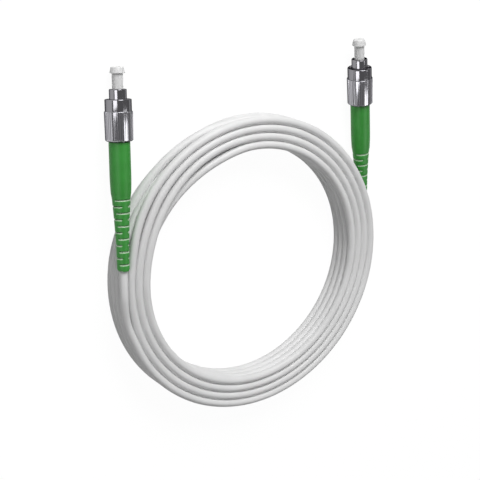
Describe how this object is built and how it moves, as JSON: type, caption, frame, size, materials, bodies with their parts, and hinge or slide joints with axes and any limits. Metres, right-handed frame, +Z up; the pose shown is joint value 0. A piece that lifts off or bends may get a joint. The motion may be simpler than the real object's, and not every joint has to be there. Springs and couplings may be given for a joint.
{
  "type": "fibre patch cord",
  "caption": "Coiled white simplex fibre patch cord with a threaded round connector, dust cap and slotted green boot on each end.",
  "frame": {"origin": "centre of the coil's eye, on the surface that the coil lies on", "axes": "+Z up along the coil's axis, +Y the way both connectors point, +X from connector a to connector b"},
  "size_m": [0.1157, 0.1352, 0.014],
  "materials": {
    "white_jacket": "matte extruded jacket",
    "green_boot": "satin moulded elastomer",
    "nickel_plate": "nickel-plated turned brass",
    "crimp_metal": "plated crimp sleeve",
    "spring_steel": "drawn spring wire",
    "zirconia": "polished white zirconia",
    "buffer_coat": "tight buffer coating",
    "milky_cap": "milky soft plastic"
  },
  "bodies": {
    "root": {"cable_coil": "white_jacket", "cable_lead_a": "white_jacket", "cable_lead_b": "white_jacket", "key_barrel_a": "nickel_plate", "rear_body_a": "nickel_plate", "crimp_sleeve_a": "crimp_metal", "boot_a": "green_boot", "ferrule_spring_a": "spring_steel", "key_barrel_b": "nickel_plate", "rear_body_b": "nickel_plate", "crimp_sleeve_b": "crimp_metal", "boot_b": "green_boot", "ferrule_spring_b": "spring_steel"},
    "nut_a": {"coupling_nut_a": "nickel_plate"},
    "ferrule_a": {"ferrule_a": "zirconia", "ferrule_flange_a": "nickel_plate", "fibre_buffer_a": "buffer_coat"},
    "cap_a": {"dust_cap_a": "milky_cap"},
    "nut_b": {"coupling_nut_b": "nickel_plate"},
    "ferrule_b": {"ferrule_b": "zirconia", "ferrule_flange_b": "nickel_plate", "fibre_buffer_b": "buffer_coat"},
    "cap_b": {"dust_cap_b": "milky_cap"}
  },
  "joints": [
    {"name": "nut_turn_a", "type": "hinge", "parent": "root", "child": "nut_a", "pos_m": [-0.05175, 0.05958, 0.00523], "axis": [0.0583, 0.9906, -0.1238], "continuous": true},
    {"name": "ferrule_push_a", "type": "slide", "parent": "root", "child": "ferrule_a", "axis": [-0.0583, -0.9906, 0.1238], "range_m": [0, 0.001], "stiffness_N_per_m": 2000, "deforming": ["ferrule_spring_a"]},
    {"name": "cap_pull_a", "type": "slide", "parent": "ferrule_a", "child": "cap_a", "axis": [0.0583, 0.9906, -0.1238], "range_m": [0, 0.012]},
    {"name": "nut_turn_b", "type": "hinge", "parent": "root", "child": "nut_b", "pos_m": [0.05103, 0.06128, 0.00527], "axis": [-0.1052, 0.9927, 0.0588], "continuous": true},
    {"name": "ferrule_push_b", "type": "slide", "parent": "root", "child": "ferrule_b", "axis": [0.1052, -0.9927, -0.0588], "range_m": [0, 0.001], "stiffness_N_per_m": 2000, "deforming": ["ferrule_spring_b"]},
    {"name": "cap_pull_b", "type": "slide", "parent": "ferrule_b", "child": "cap_b", "axis": [-0.1052, 0.9927, 0.0588], "range_m": [0, 0.012]}
  ]
}
